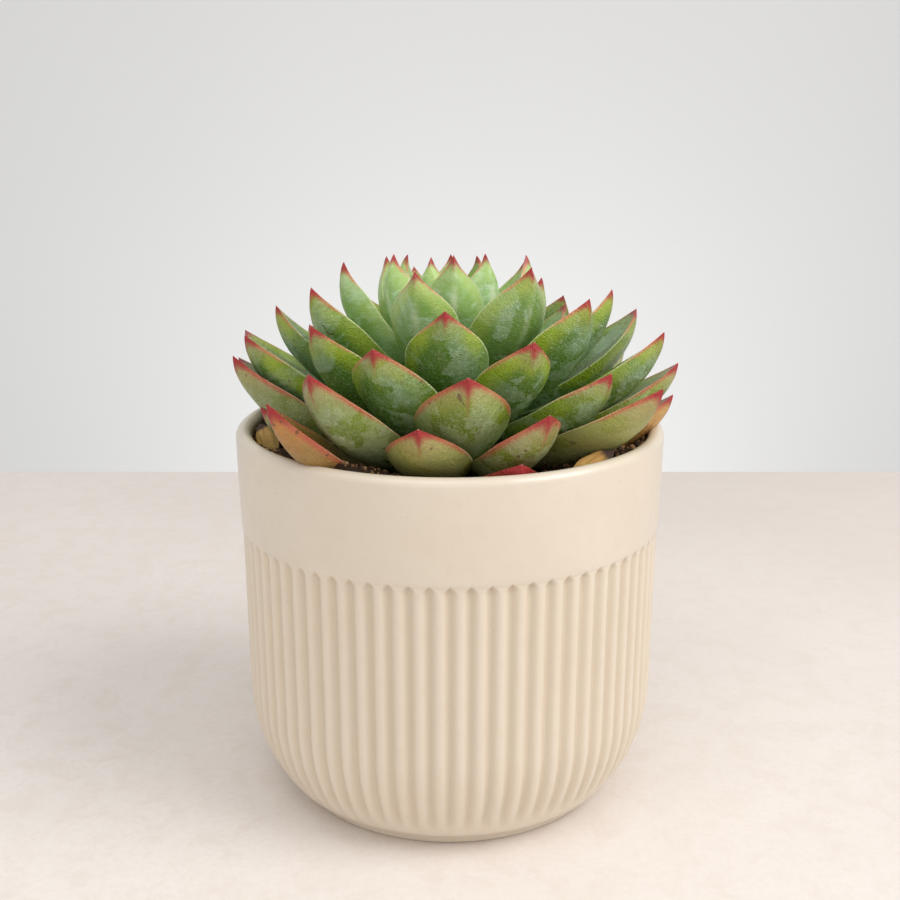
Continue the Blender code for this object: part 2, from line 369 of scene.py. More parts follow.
foot_edge = (FOOT_RADIUS - FOOT_BEVEL, FOOT_BEVEL)
outline = [(0.0, 0.0), (FOOT_RADIUS * 0.5, 0.0)] + arc(foot_edge, FOOT_BEVEL, -90, 0, 4)
outline += [(FOOT_RADIUS + 0.0002, 0.0025), (FOOT_RADIUS + 0.0004, 0.0036)]
FIRST_REED_ROW = len(outline)
belly = (RIM_RADIUS - WALL / 4 - BELLY_RADIUS, BELLY_HEIGHT)
outline += arc(belly, BELLY_RADIUS, -38, 0, 16)
belly_out, climbs = outline[-1][0], [step / 12 for step in range(1, 13)]
outline += [(belly_out + 0.0003 * up, BELLY_HEIGHT + REEDS_STRAIGHT * up) for up in climbs]
outline += [(outline[-1][0], BAND_FROM - 0.003 + 0.0003 * step) for step in range(1, 9)]
band = RIM_RADIUS - BAND_TAPER
outline += [(band - 0.0002, BAND_FROM - 0.0003), (band - 0.0001, BAND_FROM)]
LAST_REED_ROW = len(outline)
outline += [(band, BAND_FROM + 0.0006), (band + 0.0001, BAND_FROM + 0.002), (RIM_RADIUS - 0.0002, 0.1)]
outline += arc((RIM_RADIUS - WALL / 2, POT_HEIGHT - WALL / 2), WALL / 2, 0, 180, 14)
inner = RIM_RADIUS - WALL
outline += arc((inner - INNER_CORNER, POT_FLOOR + INNER_CORNER), INNER_CORNER, 0, -90, 6)
outline += [(0.0, POT_FLOOR)]
print(len(outline), "points, reeds on rows", FIRST_REED_ROW, "to", LAST_REED_ROW)

# %% [markdown]
# ## Turning the pot, with its reeds
# The reeds repeat 72 times round the pot and all follow one rule, so Geometry Nodes make them:
# a grid is wrapped round the axis, each row takes its radius and height from the outline, and
# the rule then sinks a groove between each two reeds. A reed is broad and round, a groove is
# narrow. On top a groove ends in a small arch under the band, and near the foot it dies out.

# %% The pot's shape tree
SIZES = ["Count Sectors", "Count Reeds", "Reed Depth", "First Row", "Last Row", "Top", "Foot"]
pot_tree, size, end = start_shape("reeded_pot", SIZES)
rows = size["Geometry"].node("GeometryNodeAttributeDomainSize", {0: size["Geometry"]})
columns = size["Count Sectors"] + 1
grid_sizes = {"Vertices X": rows, "Vertices Y": columns}
grid = rows.node("GeometryNodeMeshGrid", grid_sizes)
index = rows.node("GeometryNodeInputIndex")
row = rows.math("FLOOR", (index + 0.5) / columns)
column = index - row * columns
position = rows.node("GeometryNodeInputPosition")
where = {"Geometry": size["Geometry"], "Value": position, "Index": row}
spot = rows.node("GeometryNodeSampleIndex", where, data_type="FLOAT_VECTOR")
radius, _, height = spot.parts()
share = rows.math("FRACT", column * size["Count Reeds"] / size["Count Sectors"] + 0.5)
across = abs(share - 0.5) * 2.0
valley = (0.5 - 0.5 * (math.pi * (1.0 - across)).cosine()) ** 1.5
arch = size["Top"] - across * 0.0022
open_above = 1.0 - height.climb(arch - 0.0011, arch)
open_below = height.climb(size["Foot"], size["Foot"] + 0.009)
in_rows = row.math("GREATER_THAN", row, size["First Row"] - 0.5)
in_rows = in_rows * row.math("LESS_THAN", row, size["Last Row"] + 0.5)
groove = valley * open_above * open_below * in_rows
radius = radius - groove * size["Reed Depth"]
angle = column / size["Count Sectors"] * math.tau - math.pi / 2
place = rows.vector(radius * angle.cosine(), radius * angle.sine(), height)
shape = rows.node("GeometryNodeSetPosition", {"Geometry": grid, "Position": place})
note = {"Geometry": shape, "Name": "groove", "Value": groove}
shape = rows.node("GeometryNodeStoreNamedAttribute", note, data_type="FLOAT", domain="POINT")
shape = rows.node("GeometryNodeMergeByDistance", {"Geometry": shape, "Distance": 2e-6})
end(shape)
print(len(pot_tree.nodes), "nodes in the pot's tree")

# %% [markdown]
# ## Glaze
# A cream satin glaze over a warm clay body. The reeded part is a little warmer than the band, and
# the grooves are browner, where the glaze pools. A few tiny dark specks show here and there, and
# the surface is very slightly uneven, as a dipped glaze is.

# %% Glaze and the finished pot
CREAM, CREAM_PALE, REED_CREAM = (0.715, 0.625, 0.505), (0.745, 0.660, 0.545), (0.755, 0.650, 0.515)
CLAY_MOTTLE, GROOVE_BROWN, SPECK_BROWN = (0.66, 0.55, 0.41), (0.56, 0.44, 0.30), (0.40, 0.30, 0.20)
glaze, paint, look = start_finish("cream_glaze", roughness=0.38, coat_weight=0.45, coat_roughness=0.16)
spot = paint.node("ShaderNodeTexCoord", out="Object")
groove = paint.node("ShaderNodeAttribute", out="Fac", attribute_name="groove")
drift = paint.noise(spot, 26.0, 3.0, 0.55)
mottle = paint.noise(spot, 260.0, 4.0, 0.6)
speck = paint.node("ShaderNodeTexVoronoi", {"Vector": spot, "Scale": 330.0}, out="Distance")
_, _, height = spot.parts()
reeded = 1.0 - height.climb(BAND_FROM - 0.002, BAND_FROM + 0.001)
tone = drift.climb(0.3, 0.7).between(CREAM, CREAM_PALE)
tone = (reeded * 0.5).between(tone, REED_CREAM)
tone = (mottle.climb(0.45, 0.8) * 0.22).between(tone, CLAY_MOTTLE)
tone = (groove * 0.45).between(tone, GROOVE_BROWN)
rare = paint.noise(spot, 90.0, 1.0).climb(0.66, 0.7)
tone = ((1.0 - speck.climb(0.06, 0.13)) * rare * 0.5).between(tone, SPECK_BROWN)
paint.plug(look["Base Color"], tone)
paint.plug(look["Roughness"], 0.33 + mottle * 0.12)
uneven = drift * 0.6 + mottle * 0.10
bump = paint.node("ShaderNodeBump", {"Height": uneven, "Strength": 0.18, "Distance": 0.0008})
paint.plug(look["Normal"], bump)

line = bpy.data.meshes.new("outline")
line.from_pydata([(r, 0.0, z) for r, z in outline], [(n, n + 1) for n in range(len(outline) - 1)], [])
values = {"Count Sectors": 864, "Count Reeds": 72, "Reed Depth": 0.0013, "Material": glaze}
values.update({"First Row": float(FIRST_REED_ROW), "Last Row": float(LAST_REED_ROW)})
values.update({"Top": BAND_FROM + 0.0002, "Foot": 0.0052})
pot = keep_shape("pot_glazed", pot_tree, values, line)
face_out(pot)
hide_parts("pot")
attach(pot, "root")
print("pot:", len(pot.data.polygons), "faces")

# %% [markdown]
# ## Potting mix
# The mix is dark, damp compost with coarse grit. The CAD mix already lies lower under the old
# leaves, so its mesh is copied, merged, cut finer and roughened by noise. It is heaped up a
# little towards the wall, with one low mound in front on the left. Then Geometry Nodes scatter
# small angular stones over what can be seen, because a stone repeats and only its size, turn
# and shade change.


# %% Mix surface
def copy_of(node, name):
    """A merged copy of a CAD node's mesh, as an object of its own."""
    piece = bpy.data.objects.new(name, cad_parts[node].data.copy())
    piece.data.materials.clear()
    bpy.context.scene.collection.objects.link(piece)
    face_out(piece)
    return piece


SIZES = ["Roughness Height", "Open From", "Heap", "Mound", "Mound X", "Mound Y"]
mix_tree, size, end = start_shape("rough_mix", SIZES)
fine = size["Geometry"].node("GeometryNodeSubdivideMesh", {0: size["Geometry"], "Level": 2})
spot = fine.node("GeometryNodeInputPosition")
x, y, height = spot.parts()
_, _, upward = fine.node("GeometryNodeInputNormal").parts()
lumps = fine.noise(spot, 190.0, 5.0, 0.65) - 0.55
open_top = height.climb(size["Open From"], size["Open From"] + 0.004) * upward.climb(0.2, 0.7)
heap = ((x * x + y * y) ** 0.5).climb(0.030, 0.050) * size["Heap"]
away = ((x - size["Mound X"]) ** 2.0 + (y - size["Mound Y"]) ** 2.0) ** 0.5
heap = heap + (1.0 - away.climb(0.004, 0.016)) * size["Mound"]
push = fine.vector(0.0, 0.0, (lumps * size["Roughness Height"] + heap) * open_top)
end(fine.node("GeometryNodeSetPosition", {"Geometry": fine, "Offset": push}))
print(len(mix_tree.nodes), "nodes in the mix's tree")

# %% Grit
SIZES = ["Density", "Largest", "Open From", "Wall Radius"]
grit_tree, size, end = start_shape("grit", SIZES)
spot = size["Geometry"].node("GeometryNodeInputPosition")
x, y, height = spot.parts()
_, _, upward = spot.node("GeometryNodeInputNormal").parts()
out = (x * x + y * y) ** 0.5
chosen = height.math("GREATER_THAN", height, size["Open From"])
chosen = chosen * upward.math("GREATER_THAN", upward, 0.3)
chosen = chosen * out.math("LESS_THAN", out, size["Wall Radius"])
crowd = out.climb(0.02, 0.045) * 0.8 + 0.2
scatter = {"Mesh": size["Geometry"], "Density": size["Density"] * crowd * chosen, "Seed": 7}
points = spot.node("GeometryNodeDistributePointsOnFaces", scatter)
cube = spot.node("GeometryNodeMeshCube", {"Vertices X": 3, "Vertices Y": 3, "Vertices Z": 3})
corner = spot.node("GeometryNodeInputPosition")
long = corner.node("ShaderNodeVectorMath", {0: corner}, out="Value", operation="LENGTH")
knobbly = 0.72 + corner.noise(corner, 2.2, 2.0) * 0.55
pull = {0: corner, "Scale": knobbly / (long + 0.001) * 0.5}
stone = corner.node("ShaderNodeVectorMath", pull, operation="SCALE")
cube = spot.node("GeometryNodeSetPosition", {"Geometry": cube, "Position": stone})


def random_in(low, high, seed):
    kind = "FLOAT_VECTOR" if isinstance(low, tuple) else "FLOAT"
    names = {"FLOAT_VECTOR": (0, 1, 0), "FLOAT": (2, 3, 1)}[kind]
    values = {names[0]: low, names[1]: high, "Seed": seed}
    return spot.node("FunctionNodeRandomValue", values, out=names[2], data_type=kind)


ANY_TURN = (6.28, 6.28, 6.28)
turn = random_in((0.0, 0.0, 0.0), ANY_TURN, 1)
big = (random_in(0.0, 1.0, 2) ** 2.2 * 0.72 + 0.28) * size["Largest"]
flat = random_in((0.7, 0.6, 0.5), (1.3, 1.0, 0.9), 3)
grain_size = spot.node("ShaderNodeVectorMath", {0: flat, "Scale": big}, operation="SCALE")
turned_by = spot.node("FunctionNodeEulerToRotation", {0: turn})
copies = {"Points": points, "Instance": cube, "Rotation": turned_by, "Scale": grain_size}
grit = spot.node("GeometryNodeInstanceOnPoints", copies)
note = {"Geometry": grit, "Name": "shade", "Value": random_in(0.0, 1.0, 4)}
grit = spot.node("GeometryNodeStoreNamedAttribute", note, data_type="FLOAT", domain="INSTANCE")
end(grit, smooth=False)
print(len(grit_tree.nodes), "nodes in the grit's tree")

# %% Mix finish and pieces
DAMP_BROWN = (0.03, 0.018, 0.01)
mix, paint, look = start_finish("potting_mix", roughness=0.9)
look["Specular IOR Level"].default_value = 0.25
spot = paint.node("ShaderNodeTexCoord", out="Object")
shade = paint.node("ShaderNodeAttribute", out="Fac", attribute_name="shade")
damp = paint.noise(spot, 300.0, 5.0, 0.7)
browns = [(0.0, (0.020, 0.011, 0.005)), (0.40, (0.070, 0.036, 0.016))]
browns += [(0.68, (0.20, 0.105, 0.045)), (0.88, (0.36, 0.20, 0.09)), (1.0, (0.50, 0.34, 0.20))]
tone = paint.node("ShaderNodeValToRGB", {0: shade * 0.86 + damp * 0.14}, stops=browns)
tone = (damp.climb(0.45, 0.75) * 0.6).between(tone, DAMP_BROWN)
paint.plug(look["Base Color"], tone)
paint.plug(look["Roughness"], 0.95 - damp * 0.25)
bump = paint.node("ShaderNodeBump", {"Height": damp, "Strength": 0.8, "Distance": 0.0006})
paint.plug(look["Normal"], bump)

bed = copy_of("potting_soil", "bed")
values = {"Roughness Height": 0.0024, "Open From": 0.096, "Heap": 0.0030, "Material": mix}
values.update({"Mound": 0.0032, "Mound X": -0.028, "Mound Y": -0.046})
soil = keep_shape("mix_surface", mix_tree, values, bed.data)
bed_mesh = soil.data.copy()
values = {"Density": 430000.0, "Largest": 0.0026, "Open From": 0.0955, "Wall Radius": 0.0592}
values["Material"] = mix
stones = keep_shape("mix_grit", grit_tree, values, bed_mesh)
bpy.data.objects.remove(bed)
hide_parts("potting_soil")
for piece in (soil, stones):
    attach(piece, "root")
print("mix:", len(soil.data.polygons), "faces, grit:", len(stones.data.polygons), "faces")

# %% [markdown]
# ## Stem
# The short stem is woody where old leaves have dropped off, and green at its growing top. Almost
# all of it hides behind the leaf bases, and its CAD shape is right, so it keeps its mesh and gets
# a bark finish.

# %% Stem
BARK_DARK, BARK_PALE, GROWING_GREEN = (0.16, 0.13, 0.05), (0.34, 0.30, 0.15), (0.40, 0.58, 0.24)
bark, paint, look = start_finish("stem_bark", roughness=0.85)
spot = paint.node("ShaderNodeTexCoord", out="Object")
rings = paint.noise(spot, 240.0, 4.0, 0.65)
_, _, height = spot.parts()
tone = rings.climb(0.3, 0.7).between(BARK_DARK, BARK_PALE)
paint.plug(look["Base Color"], height.climb(0.124, 0.129).between(tone, GROWING_GREEN))
bump = paint.node("ShaderNodeBump", {"Height": rings, "Strength": 0.6, "Distance": 0.0006})
paint.plug(look["Normal"], bump)
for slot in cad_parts["stem"].material_slots:
    slot.material = bark

# %% [markdown]
# ## The rule of the rosette
# An echeveria grows its leaves one after another round the stem, each 137.5 degrees on from the
# last. Each leaf's age is its rank in that spiral. With age it sinks from upright to nearly
# level, and gets longer, broader and thicker. A real plant strays a little from its rule, so
# each leaf's own turn, lift and length are read back from the tip of its CAD node.

# %% Leaf measures from the CAD nodes
LEAN_BACK = math.radians(6.1)
STEM_TOP = 0.1313
STEM_LENGTH = 0.0270
CROWN_RADIUS = 0.0026
STEM_RADIUS = 0.0082
RANK_SPAN = 54.0
INNER_BEND, BEND_GAIN = 33.0, 12.5
INNER_LENGTH, LENGTH_GAIN, LENGTH_DECAY = 0.0340, 0.0364, 1.87
INNER_HALF_WIDTH, WIDTH_GAIN = 0.0063, 0.0078
INNER_THICKNESS, THICKNESS_GAIN = 0.0033, 0.0029
BREADTH_DECAY = 3.2
RANKS = [rank for rank in range(51) if rank != 39] + [52, 53, 55, 60, 63]


def measure_leaf(node, rank):
    """The sizes that the leaf's shape tree takes, from its rank and its CAD node's tip."""
    age = rank / RANK_SPAN
    foot = CROWN_RADIUS + (STEM_RADIUS - CROWN_RADIUS) * (1 - (1 - min(age, 1.0)) ** 3)
    level = STEM_TOP - STEM_LENGTH * age
    pivot = Vector((0.0, 0.0, POT_HEIGHT))
    upright = Matrix.Rotation(LEAN_BACK, 3, "X")
    corners = [upright @ (corner.co - pivot) + pivot for corner in node.data.vertices]
    tip = max(corners, key=lambda corner: (corner - Vector((0.0, 0.0, level))).length)
    bend = math.radians(INNER_BEND + BEND_GAIN * min(1.0, age * 2))
    reach, climb = math.hypot(tip.x, tip.y) - foot, tip.z - level
    length = math.hypot(reach, climb) * bend / 2 / math.sin(bend / 2)
    grown = (1 - math.exp(-LENGTH_DECAY * age)) / (1 - math.exp(-LENGTH_DECAY))
    size = length / (INNER_LENGTH + LENGTH_GAIN * grown)
    broad = 1 - math.exp(-BREADTH_DECAY * age)
    sizes = {"Length": length, "Bend": bend, "Rise": math.atan2(climb, reach) - bend / 2}
    sizes.update({"Turn": math.atan2(tip.y, tip.x), "Stem Radius": foot, "Stem Height": level})
    sizes["Half Width"] = size * (INNER_HALF_WIDTH + WIDTH_GAIN * broad)
    sizes["Thickness"] = size * (INNER_THICKNESS + THICKNESS_GAIN * broad)
    sizes["Age"] = age
    return sizes


LEAVES = {}
for number, rank in enumerate(RANKS, start=1):
    name = f"leaf_{number:02d}"
    LEAVES[name] = measure_leaf(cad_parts[name], rank)
print("oldest leaf:", {key: round(value, 4) for key, value in LEAVES["leaf_55"].items()})

# %% [markdown]
# ## One leaf, by rule
# All 55 leaves share one shape, so one tree makes them. It takes a cone, whose point is the
# leaf's tip, and moves each of its points: the height in the cone says how far along the leaf
# the point is, and the place round the cone says how far across it is, on which face. The
# middle line is an arc. The width swells for the first three fifths of the length, then draws in
# through hollow shoulders to a sharp little point. The upper face is slightly hollow, and the
# lower one is keeled. Roll lets a leaf turn a little about its length. The tree also notes, for
# the paint, how far each spot is from the tip and margin.

# %% The leaf's shape tree
BROADEST = 0.60
WAIST = 0.42
BASE_DEPTH = 0.34
POINT_RADIUS = 0.00030
HOLLOW = 0.0006
WAVE_HEIGHT = 0.0016
LOWER_MARGIN, UPPER_MARGIN = 0.00035, 0.0002
SIZES = ["Length", "Half Width", "Thickness", "Bend", "Rise", "Turn", "Stem Radius"]
SIZES += ["Stem Height", "Age", "Roll", "Blush", "Amber"]
leaf_tree, size, end = start_shape("leaf", SIZES)
cone_sizes = {"Vertices": 44, "Side Segments": 56, "Radius Top": 0.0, "Radius Bottom": 1.0}
cone = size["Length"].node("GeometryNodeMeshCone", {**cone_sizes, "Depth": 1.0}, fill_type="NGON")
x, y, z = cone.node("GeometryNodeInputPosition").parts()
ring = (1.0 - z).at_least(0.0001)
across = (x / ring).at_most(1.0).at_least(-1.0)
side = y / ring
side = side * z.math("LESS_THAN", z, 0.9999)
under = side.math("LESS_THAN", side, 0.0)
along = 1.0 - (1.0 - z) ** 1.2

base = WAIST * size["Stem Radius"] / size["Half Width"]
young = 1.0 - size["Age"].climb(0.05, 0.60)
swell = ((along / BROADEST).at_most(1.0) * (math.pi / 2)).sine() ** (1.18 + 0.30 * young)
shoulder = ((along - BROADEST) / (1.0 - BROADEST)).at_least(0.0)
draw_in = (1.0 - shoulder ** (3.2 - 0.8 * young)).at_least(0.0) ** (1.32 + 0.60 * young)
point = (1.0 - along.climb(0.965, 1.0)) ** 0.6 * along.climb(0.90, 0.97) * POINT_RADIUS
width = size["Half Width"] * (base + (1.0 - base) * swell) * draw_in + point
deep = BASE_DEPTH + (1.0 - BASE_DEPTH) * (along.at_most(0.5) * math.pi).sine()
deep = deep * (1.0 - ((along - 0.5) * 2.0).at_least(0.0) ** 2.6).at_least(0.0) ** 0.8
keel = 1.0 - abs(across) ** (2.5 - 0.9 * along)
seed = cone.vector(along * 2.2, across * 0.7, size["Age"] * 37.0)
waves = (cone.noise(seed, 1.6, 2.0) - 0.5) * WAVE_HEIGHT
waves = waves * along.climb(0.15, 0.5) * (1.0 - along.climb(0.8, 1.0))
hollow = HOLLOW * (1.0 - across * across) * width / size["Half Width"]
hollow = hollow - 0.05 * width * across * across
hollow = hollow - size["Roll"] * across * width * along.climb(0.2, 0.6)
margin = abs(side) * (width / 0.004).at_most(1.0)
belly = under * (size["Thickness"] * deep * keel + LOWER_MARGIN * margin)
off = hollow + waves + belly - UPPER_MARGIN * (1.0 - under) * margin

slope = size["Rise"] + size["Bend"] * along
bow = size["Length"] / size["Bend"]
radius = size["Stem Radius"] + bow * (slope.sine() - size["Rise"].sine())
height = size["Stem Height"] + bow * (size["Rise"].cosine() - slope.cosine())
angle = size["Turn"] + across * width / radius
out = radius + off * slope.sine()
level = height - off * slope.cosine()
upright = cone.vector(out * angle.cosine(), out * angle.sine(), level)
lean = {"Vector": upright, "Center": (0.0, 0.0, POT_HEIGHT), "Angle": -LEAN_BACK}
place = cone.node("ShaderNodeVectorRotate", lean, rotation_type="X_AXIS")

MM = 1000.0
to_tip = (1.0 - along) * size["Length"] * MM
to_margin = (1.0 - abs(across)) * width * MM
notes = {
    "leaf_edge": cone.vector(to_tip, to_margin, under),
    "leaf_span": cone.vector(across * width * MM, along * size["Length"] * MM, along),
    "leaf_kind": cone.vector(size["Age"], size["Blush"], size["Amber"]),
}
shape = cone
for name, value in notes.items():
    note = {"Geometry": shape, "Name": name, "Value": value}
    settings = {"data_type": "FLOAT_VECTOR", "domain": "POINT"}
    shape = cone.node("GeometryNodeStoreNamedAttribute", note, **settings)
shape = cone.node("GeometryNodeSetPosition", {"Geometry": shape, "Position": place})
end(shape)
print(len(leaf_tree.nodes), "nodes in the leaf's tree")

# %% [markdown]
# ## Leaf skin
# Under a powdery, pale mint bloom the flesh is a deeper, shinier green, and it shows where
# the bloom is rubbed off. The bloom thins towards each leaf's base, a painted shade where the
# leaves crowd together. Sun turns the tip and margins red: crimson at the point, dusty coral
# further down, with a lime band next to it. The keel carries a red line from the tip. A thin
# pale line runs along the margin, partly the margin's own colour and partly painted rim light,
# and a small painted glint sits at the very point. Young leaves are mint, old ones olive, and
# the oldest amber. The colours come first, by name, and each step below then lays one of them
# over the last.

# %% Leaf skin: places
leaf_skin, paint, look = start_finish("leaf_skin", subsurface_weight=0.06, subsurface_scale=0.003)
look["Specular IOR Level"].default_value = 0.35
look["Coat Weight"].default_value, look["Coat Roughness"].default_value = 0.20, 0.22
look["Subsurface Radius"].default_value = (0.6, 1.0, 0.35)
to_tip, to_margin, under = paint.note("leaf_edge")
aside, from_stem, along = paint.note("leaf_span")
age, blush, amber = paint.note("leaf_kind")
on_leaf = paint.vector(aside * 0.001, from_stem * 0.001, age * 0.7)
lengthwise = paint.vector(aside * 0.001, from_stem * 0.0003, age * 0.7)
cloud = paint.noise(on_leaf, 60.0, 2.0, 0.5)
patch = paint.noise(on_leaf, 95.0, 3.0, 0.55, Distortion=0.8)
fine = paint.noise(on_leaf, 620.0, 4.0, 0.6)
streaks = paint.noise(lengthwise, 420.0, 3.0, 0.55)
wrinkled = on_leaf.node("ShaderNodeVectorMath", {0: on_leaf, 1: fine * 0.0009}, operation="ADD")
cells = {"Vector": wrinkled, "Scale": 1250.0}
wrinkle = paint.node("ShaderNodeTexVoronoi", cells, out="Distance", feature="DISTANCE_TO_EDGE")
wrinkle = 1.0 - wrinkle.climb(0.01, 0.16)
leather = paint.noise(on_leaf, 1450.0, 1.0, 0.5, Distortion=1.3)

print(len(leaf_skin.node_tree.nodes), "nodes for places and noises")

# %% Leaf skin: colours
FLESH, FLESH_OLD, FLESH_YOUNG = (0.068, 0.175, 0.002), (0.130, 0.185, 0.010), (0.27, 0.47, 0.05)
BLOOM, BLOOM_OLD, BLOOM_YOUNG = (0.250, 0.405, 0.235), (0.360, 0.385, 0.230), (0.53, 0.73, 0.44)
BLOOM_THICK, BLOOM_ABOVE = (0.44, 0.54, 0.36), (0.42, 0.60, 0.38)
OLIVE, LEATHERY = (0.24, 0.34, 0.07), (0.44, 0.48, 0.29)
YELLOWING, GOLDEN = (0.44, 0.42, 0.10), (0.66, 0.34, 0.09)
BURNT_BASE, BURNT_END, FADED_SPOT = (0.110, 0.075, 0.013), (0.62, 0.160, 0.018), (0.30, 0.20, 0.06)
LIME, LIME_YOUNG = (0.33, 0.45, 0.010), (0.60, 0.72, 0.22)
ROSY, CORAL, CORAL_RED = (0.46, 0.30, 0.14), (0.62, 0.28, 0.13), (0.50, 0.110, 0.060)
CRIMSON, KEEL_RED, KEEL_PALE = (0.36, 0.014, 0.020), (0.36, 0.055, 0.035), (0.80, 0.86, 0.60)
MARGIN_PALE_AND_RIM_LIGHT, MARGIN_ROSY_AND_RIM_LIGHT, GLINT = (0.70, 0.76, 0.42), (0.56, 0.34, 0.20), (0.78, 0.66, 0.55)
SCAR = (0.15, 0.080, 0.03)
print("youngest bloom", BLOOM_YOUNG, "oldest bloom", BLOOM_OLD)

# %% Leaf skin: flesh and bloom
old = age.climb(0.5, 0.95)
young = 1.0 - age.climb(0.08, 0.42)
flesh = old.between(FLESH, FLESH_OLD)
flesh = young.between(flesh, FLESH_YOUNG)
bloom = old.between(BLOOM, BLOOM_OLD)
thick = (1.0 - patch.climb(0.38, 0.52)) * cloud.climb(0.40, 0.60)
bloom = (thick * 0.75).between(bloom, BLOOM_THICK)
bloom = young.between(bloom, BLOOM_YOUNG)
bloom = ((1.0 - under) * 0.6).between(bloom, BLOOM_ABOVE)
rubbed = patch.climb(0.465 + old * 0.07, 0.495 + old * 0.07) * cloud.climb(0.34, 0.44)
rubbed = rubbed * (1.0 - young * 0.45)
powder_and_base_shade = (1.0 - rubbed * 0.92) * (0.50 + 0.50 * fine.climb(0.38, 0.62))
# Painted shade: the bloom thins towards the leaf's base, so the base, where the leaves crowd together,
# is darker.
powder_and_base_shade = powder_and_base_shade * (0.52 + 0.48 * along.climb(0.15, 0.50))
tone = powder_and_base_shade.between(flesh, bloom)
tone = (streaks.climb(0.42, 0.72) * 0.22).between(tone, flesh)
tone = (cloud.climb(0.45, 0.75) * 0.22 * (1.0 - young)).between(tone, OLIVE)
tone = (wrinkle * (1.0 - young) * (0.10 + 0.34 * powder_and_base_shade)).between(tone, flesh)
tone = (leather.climb(0.50, 0.66) * (1.0 - young) * 0.40).between(tone, LEATHERY)

print(len(leaf_skin.node_tree.nodes), "nodes once the bloom is on")

# %% Leaf skin: amber of the oldest leaves
golden = amber.climb(0.70, 0.95).between(YELLOWING, GOLDEN)
burnt = along.climb(0.76, 0.98).between(BURNT_BASE, BURNT_END)
faded = blush.climb(1.6, 1.8).between(golden, burnt)
faded = (fine.climb(0.4, 0.7) * 0.35).between(faded, FADED_SPOT)
fading = (0.45 + 0.55 * along.climb(0.35, 0.65)).at_least(blush.climb(1.6, 1.8))
fading = amber.at_most(1.0) * fading
tone = (fading * 0.95).between(tone, faded)

print(len(leaf_skin.node_tree.nodes), "nodes once the amber is on")

# %% Leaf skin: lime band, red tips, margins and keel
wobble = (cloud - 0.5) * 2.6 + (fine - 0.5) * 1.4 + (streaks - 0.5) * 2.0
between_lines = abs(aside).at_most(to_margin)
from_tip = to_tip * 0.60 + between_lines * 0.35 + wobble
reach = 0.35 + blush * 2.0
lime_field = (to_margin * 1.2 + (0.55 - along).at_least(0.0) * 30.0 + wobble * 0.6).at_most(from_tip)
lime = 1.0 - lime_field.climb(reach + 0.8, reach * 1.6 + 4.6)
lime = lime * (0.42 + 0.58 * cloud.climb(0.40, 0.56))
lime_tone = young.between(LIME, LIME_YOUNG)
lime = lime * (0.80 - 0.75 * amber.at_most(1.0)) * (1.0 - 0.75 * old) * (1.0 - 0.60 * young)
tone = lime.between(tone, lime_tone)
past = (to_tip - 3.0 - blush * 10.0).at_least(0.0) * 0.30
field = (to_margin * 2.0 + past + wobble * 0.5).at_most(from_tip)
rosy = 1.0 - (to_tip * 0.45 + to_margin * 0.25 + wobble * 1.4).climb(reach * 0.6, reach * 1.3 + 3.5)
rosy = rosy * blush.at_most(1.0) * (0.55 - 0.45 * amber.climb(0.8, 1.0))
tone = rosy.between(tone, ROSY)
coral = 1.0 - field.climb(reach * 0.12, reach * 1.15 + 0.3)
coral_tone = blush.at_most(1.0).between(CORAL, CORAL_RED)
tone = (coral * (0.70 + 0.30 * streaks.climb(0.35, 0.60))).between(tone, coral_tone)
keel_line = 1.0 - abs(aside + (fine - 0.5) * 0.9).climb(0.10, 0.75)
keel_line = keel_line * under * (1.0 - to_tip.climb(2.0, 4.0 + blush * 7.0)) * 0.65
tone = (keel_line * blush.at_most(1.0)).between(tone, KEEL_RED)
pale_keel = (1.0 - abs(aside).climb(0.1, 1.4)) * under * young * to_tip.climb(6.0, 12.0)
tone = (pale_keel * 0.65).between(tone, KEEL_PALE)
crimson = to_tip + between_lines * 1.1 + to_margin * 0.25 + wobble * 0.9
crimson = 1.0 - crimson.climb(1.3 + blush * 0.8, 4.2 + blush * 2.4)
tone = (crimson * 0.94).between(tone, CRIMSON)
# A thin pale line along the margin, partly the margin's own colour and partly painted rim light.
margin_and_rim_light = (1.0 - to_margin.climb(0.10, 0.32)) * to_tip.climb(3.0 + blush * 4.0, 8.0 + blush * 8.0)
margin_and_rim_light_tone = blush.climb(0.75, 1.2).between(MARGIN_PALE_AND_RIM_LIGHT, MARGIN_ROSY_AND_RIM_LIGHT)
tone = (margin_and_rim_light * 0.70).between(tone, margin_and_rim_light_tone)
# Painted highlight: a small pale glint at the very point of the leaf.
glint = 1.0 - to_tip.climb(0.08, 0.30)
tone = (glint * 0.5).between(tone, GLINT)

print(len(leaf_skin.node_tree.nodes), "nodes once lime and red are on")

# %% Leaf skin: specks, gloss and relief
freckle = paint.node("ShaderNodeTexVoronoi", {"Vector": on_leaf, "Scale": 260.0}, out="Distance")
few = paint.noise(on_leaf, 70.0, 2.0).climb(0.48, 0.56)
freckle = (1.0 - freckle.climb(0.08, 0.15)) * few * (0.25 + 0.75 * old) * (1.0 - young)
scar = paint.noise(on_leaf, 210.0, 3.0, 0.6, Distortion=1.2).climb(0.68, 0.71) * (1.0 - young)
tone = (freckle.at_least(scar) * 0.8).between(tone, SCAR)
paint.plug(look["Base Color"], tone)
paint.plug(look["Roughness"], 0.22 + powder_and_base_shade * 0.28 + fine * 0.06)
relief = leather * 1.1 + fine * 0.6 + streaks * 0.25 - freckle * 0.6 - scar * 0.5 - wrinkle * 0.2
relief = relief * (1.0 - young * 0.8)
bump = paint.node("ShaderNodeBump", {"Height": relief, "Strength": 0.65, "Distance": 0.0007})
paint.plug(look["Normal"], bump)
print(len(leaf_skin.node_tree.nodes), "nodes in the leaf's skin")

# %% [markdown]
# ## Fifty-five leaves
# Blush says how far the red spreads, amber how much of its green an old leaf has lost. Both
# follow from age, but a few old leaves at the rim have coloured more than their neighbours.
# A few are also rolled about their length, or a little broader or slimmer than the rule.

